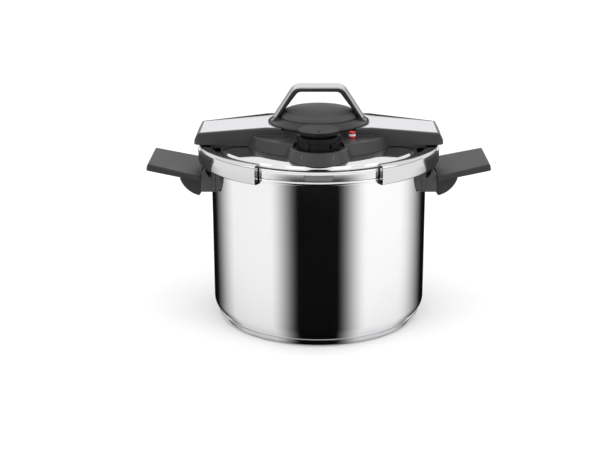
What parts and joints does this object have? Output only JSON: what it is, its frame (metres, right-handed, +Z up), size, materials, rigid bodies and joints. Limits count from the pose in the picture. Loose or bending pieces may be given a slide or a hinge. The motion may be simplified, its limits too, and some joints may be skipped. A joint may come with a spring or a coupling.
{
  "type": "stovetop pressure cooker",
  "caption": "Deep polished steel pot with two side handles and a lid whose two jaws grip the rim, an arched twist knob, a pressure dial and a red pressure indicator.",
  "frame": {"origin": "centre of the pot's flat underside", "axes": "+Z up, +X through the two pot handles, -Y towards the pressure dial, which faces the user"},
  "size_m": [0.35, 0.234, 0.2426],
  "materials": {
    "pot_steel": "mirror polished stainless",
    "base_steel": "polished stainless",
    "lid_steel": "mirror polished stainless",
    "jaw_steel": "polished stainless",
    "trim_steel": "satin stainless",
    "arch_steel": "polished stainless",
    "bracket_steel": "satin stainless",
    "inner_steel": "plain stainless",
    "core_alloy": "plain",
    "housing_black": "fine grained satin",
    "handle_black": "fine grained satin",
    "guard_grey": "satin",
    "knob_black": "fine grained satin",
    "cap_black": "grained matt",
    "dial_black": "satin",
    "insert_black": "satin",
    "gasket_grey": "silicone, matt",
    "seal_black": "silicone, matt",
    "indicator_red": "gloss",
    "indicator_white": "gloss"
  },
  "bodies": {
    "pot": {"pot_shell": "pot_steel", "base_core": "core_alloy", "base_cap": "base_steel", "left_handle_bracket": "bracket_steel", "right_handle_bracket": "bracket_steel", "left_handle_guard": "guard_grey", "right_handle_guard": "guard_grey", "left_pot_handle": "handle_black", "right_pot_handle": "handle_black", "left_handle_screw": "inner_steel", "right_handle_screw": "inner_steel"},
    "lid": {"lid_pan": "lid_steel", "gasket": "gasket_grey", "lid_housing": "housing_black", "left_trim_plate": "trim_steel", "right_trim_plate": "trim_steel", "guide_plate": "inner_steel", "housing_screws": "inner_steel", "spindle": "inner_steel", "spindle_seal": "seal_black", "spindle_nut": "inner_steel", "knob_washer": "inner_steel", "knob_nut": "inner_steel", "valve_nozzle": "inner_steel", "nozzle_seal": "seal_black", "nozzle_nut": "inner_steel", "relief_body": "inner_steel", "relief_plunger": "inner_steel", "relief_spring": "inner_steel", "relief_seal": "seal_black", "relief_nut": "inner_steel", "indicator_grommet": "seal_black"},
    "knob": {"knob_body": "knob_black", "knob_trim": "arch_steel", "knob_cap": "cap_black", "cam_disc": "inner_steel"},
    "left_jaw": {"left_jaw_band": "jaw_steel", "left_jaw_insert": "insert_black", "left_jaw_arm": "inner_steel", "left_jaw_rivets": "inner_steel", "left_follower_pin": "inner_steel"},
    "right_jaw": {"right_jaw_band": "jaw_steel", "right_jaw_insert": "insert_black", "right_jaw_arm": "inner_steel", "right_jaw_rivets": "inner_steel", "right_follower_pin": "inner_steel"},
    "dial": {"dial_ring": "dial_black", "dial_cap": "dial_black", "valve_weight": "inner_steel", "valve_spring": "inner_steel"},
    "indicator": {"indicator_pin": "indicator_red", "indicator_band": "indicator_white"}
  },
  "joints": [
    {"name": "lid_lift", "type": "slide", "parent": "pot", "child": "lid", "axis": [0, 0, 1], "range_m": [0, 0.2]},
    {"name": "knob_turn", "type": "hinge", "parent": "lid", "child": "knob", "pos_m": [0, 0, 0.2], "axis": [0, 0, 1], "range_deg": [0, 90]},
    {"name": "left_jaw_slide", "type": "slide", "parent": "lid", "child": "left_jaw", "axis": [-1, 0, 0], "range_m": [0, 0.012]},
    {"name": "right_jaw_slide", "type": "slide", "parent": "lid", "child": "right_jaw", "axis": [1, 0, 0], "range_m": [0, 0.012]},
    {"name": "dial_turn", "type": "hinge", "parent": "lid", "child": "dial", "pos_m": [0, -0.072, 0.2], "axis": [0, 0, 1], "range_deg": [0, 120]},
    {"name": "indicator_travel", "type": "slide", "parent": "lid", "child": "indicator", "axis": [0, 0, 1], "range_m": [-0.006, 0]}
  ],
  "couplings": [
    {"joint": "left_jaw_slide", "follows": "knob_turn", "m_per_rad": 0.0076394},
    {"joint": "right_jaw_slide", "follows": "knob_turn", "m_per_rad": 0.0076394}
  ]
}
